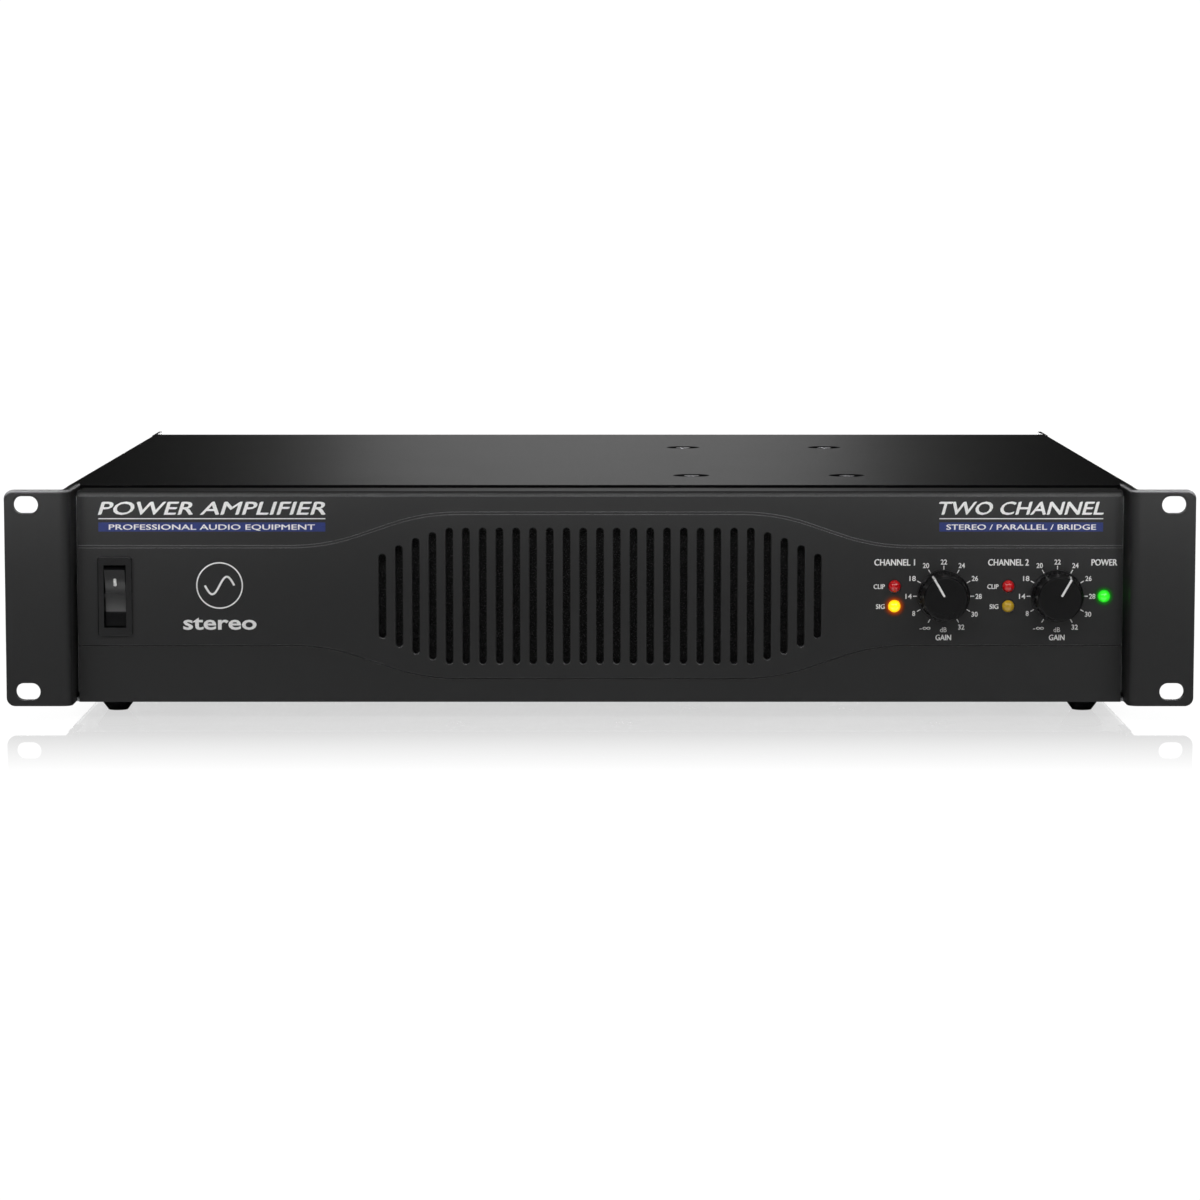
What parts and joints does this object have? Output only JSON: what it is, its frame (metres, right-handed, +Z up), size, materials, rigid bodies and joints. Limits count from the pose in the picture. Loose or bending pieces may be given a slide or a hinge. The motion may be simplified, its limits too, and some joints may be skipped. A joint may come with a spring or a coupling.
{
  "type": "power amplifier",
  "caption": "Rack-mount audio power amplifier with a vented front, gain knobs, signal lights, a rocker switch, its inner parts and rear sockets.",
  "frame": {"origin": "on the surface that the rubber feet stand on, in the middle of the width, half way between the ear faces and the tips of the rear supports", "axes": "+Z up, +X to the right as seen from the front, +Y from the front to the rear"},
  "size_m": [0.4826, 0.402, 0.0943],
  "materials": {
    "case_black": "satin black powder coat with a fine texture",
    "panel_black": "satin charcoal powder coat, printed in light grey",
    "bare_steel": "zinc-plated steel sheet",
    "black_steel": "black oxide",
    "bright_metal": "bright nickel plate",
    "sink_aluminium": "extruded, bare",
    "gold_contact": "bright plated",
    "black_plastic": "moulded, slightly grained",
    "gloss_black": "glossy moulding",
    "knob_plastic": "moulded, with a white pointer line",
    "red_plastic": "moulded red",
    "white_plastic": "moulded white",
    "blue_plastic": "moulded blue",
    "rubber_black": "matt",
    "foam_black": "open-cell filter foam",
    "board_green": "solder mask on glass-fibre board",
    "led_red": "unlit red dome",
    "led_amber": "unlit amber dome",
    "led_amber_lit": "lit amber dome",
    "led_green_lit": "lit green dome",
    "transformer_wrap": "amber polyester tape over copper wire",
    "capacitor_sleeve": "shrink sleeve",
    "wire_sleeve": "soft insulation",
    "ribbon_grey": "flat cable"
  },
  "bodies": {
    "case": {"chassis_tray": "bare_steel", "top_cover": "case_black", "rear_panel": "case_black", "rear_supports": "case_black", "rubber_feet": "rubber_black", "fascia": "panel_black", "front_plate": "bare_steel", "foam_filter": "foam_black", "rack_ear_left": "panel_black", "rack_ear_right": "panel_black", "case_screws": "black_steel", "switch_housing": "gloss_black", "gain_pots": "bare_steel", "control_board": "board_green", "clip_leds": "led_red", "signal_led_1": "led_amber_lit", "signal_led_2": "led_amber", "power_led": "led_green_lit", "led_leads": "bright_metal", "heat_sinks": "sink_aluminium", "power_transistors": "black_plastic", "amplifier_boards": "board_green", "filter_capacitors": "capacitor_sleeve", "bridge_rectifier": "black_plastic", "transformer": "transformer_wrap", "transformer_clamp": "bare_steel", "transformer_bolt": "bare_steel", "fan_frame": "black_plastic", "fan_guard": "bright_metal", "input_sockets": "black_plastic", "jack_sockets": "black_plastic", "input_board": "board_green", "dip_switch_block": "blue_plastic", "speaker_sockets": "black_plastic", "post_bases": "black_plastic", "post_studs": "gold_contact", "mains_inlet": "black_plastic", "inlet_pins": "bright_metal", "breaker_body": "black_plastic", "mains_wires": "wire_sleeve", "ribbon_cable": "ribbon_grey"},
    "power_rocker": {"power_rocker": "gloss_black"},
    "gain_knob_1": {"gain_knob_1": "knob_plastic"},
    "gain_knob_2": {"gain_knob_2": "knob_plastic"},
    "fan_rotor": {"fan_rotor": "black_plastic"},
    "breaker_button": {"breaker_button": "white_plastic"},
    "input_latch_1": {"input_latch_1": "bright_metal"},
    "input_latch_2": {"input_latch_2": "bright_metal"},
    "post_cap_1": {"post_cap_1": "red_plastic"},
    "post_cap_2": {"post_cap_2": "black_plastic"},
    "post_cap_3": {"post_cap_3": "red_plastic"},
    "post_cap_4": {"post_cap_4": "black_plastic"},
    "dip_lever_1": {"dip_lever_1": "white_plastic"},
    "dip_lever_2": {"dip_lever_2": "white_plastic"},
    "dip_lever_3": {"dip_lever_3": "white_plastic"},
    "dip_lever_4": {"dip_lever_4": "white_plastic"},
    "dip_lever_5": {"dip_lever_5": "white_plastic"},
    "dip_lever_6": {"dip_lever_6": "white_plastic"},
    "dip_lever_7": {"dip_lever_7": "white_plastic"},
    "dip_lever_8": {"dip_lever_8": "white_plastic"}
  },
  "joints": [
    {"name": "power_switch", "type": "hinge", "parent": "case", "child": "power_rocker", "pos_m": [-0.1981, -0.1861, 0.04995], "axis": [1, 0, 0], "range_deg": [0, 20]},
    {"name": "gain_1", "type": "hinge", "parent": "case", "child": "gain_knob_1", "pos_m": [0.1404, -0.1894, 0.04995], "axis": [0, 1, 0], "range_deg": [-120, 180]},
    {"name": "gain_2", "type": "hinge", "parent": "case", "child": "gain_knob_2", "pos_m": [0.1868, -0.1894, 0.04995], "axis": [0, 1, 0], "range_deg": [-180, 120]},
    {"name": "fan_spin", "type": "hinge", "parent": "case", "child": "fan_rotor", "pos_m": [0.0722, 0.135, 0.04995], "axis": [0, 1, 0], "continuous": true},
    {"name": "breaker_reset", "type": "slide", "parent": "case", "child": "breaker_button", "axis": [0, 1, 0], "range_m": [0, 0.004]},
    {"name": "latch_1", "type": "slide", "parent": "case", "child": "input_latch_1", "axis": [0, -1, 0], "range_m": [0, 0.0014], "stiffness_N_per_m": 150, "springref_m": -0.0005},
    {"name": "latch_2", "type": "slide", "parent": "case", "child": "input_latch_2", "axis": [0, -1, 0], "range_m": [0, 0.0014], "stiffness_N_per_m": 150, "springref_m": -0.0005},
    {"name": "post_1", "type": "slide", "parent": "case", "child": "post_cap_1", "axis": [0, 1, 0], "range_m": [0, 0.006]},
    {"name": "post_2", "type": "slide", "parent": "case", "child": "post_cap_2", "axis": [0, 1, 0], "range_m": [0, 0.006]},
    {"name": "post_3", "type": "slide", "parent": "case", "child": "post_cap_3", "axis": [0, 1, 0], "range_m": [0, 0.006]},
    {"name": "post_4", "type": "slide", "parent": "case", "child": "post_cap_4", "axis": [0, 1, 0], "range_m": [0, 0.006]},
    {"name": "dip_1", "type": "slide", "parent": "case", "child": "dip_lever_1", "axis": [-1, 0, 0], "range_m": [0, 0.0018]},
    {"name": "dip_2", "type": "slide", "parent": "case", "child": "dip_lever_2", "axis": [-1, 0, 0], "range_m": [0, 0.0018]},
    {"name": "dip_3", "type": "slide", "parent": "case", "child": "dip_lever_3", "axis": [-1, 0, 0], "range_m": [0, 0.0018]},
    {"name": "dip_4", "type": "slide", "parent": "case", "child": "dip_lever_4", "axis": [-1, 0, 0], "range_m": [0, 0.0018]},
    {"name": "dip_5", "type": "slide", "parent": "case", "child": "dip_lever_5", "axis": [-1, 0, 0], "range_m": [0, 0.0018]},
    {"name": "dip_6", "type": "slide", "parent": "case", "child": "dip_lever_6", "axis": [-1, 0, 0], "range_m": [0, 0.0018]},
    {"name": "dip_7", "type": "slide", "parent": "case", "child": "dip_lever_7", "axis": [-1, 0, 0], "range_m": [0, 0.0018]},
    {"name": "dip_8", "type": "slide", "parent": "case", "child": "dip_lever_8", "axis": [-1, 0, 0], "range_m": [0, 0.0018]}
  ]
}
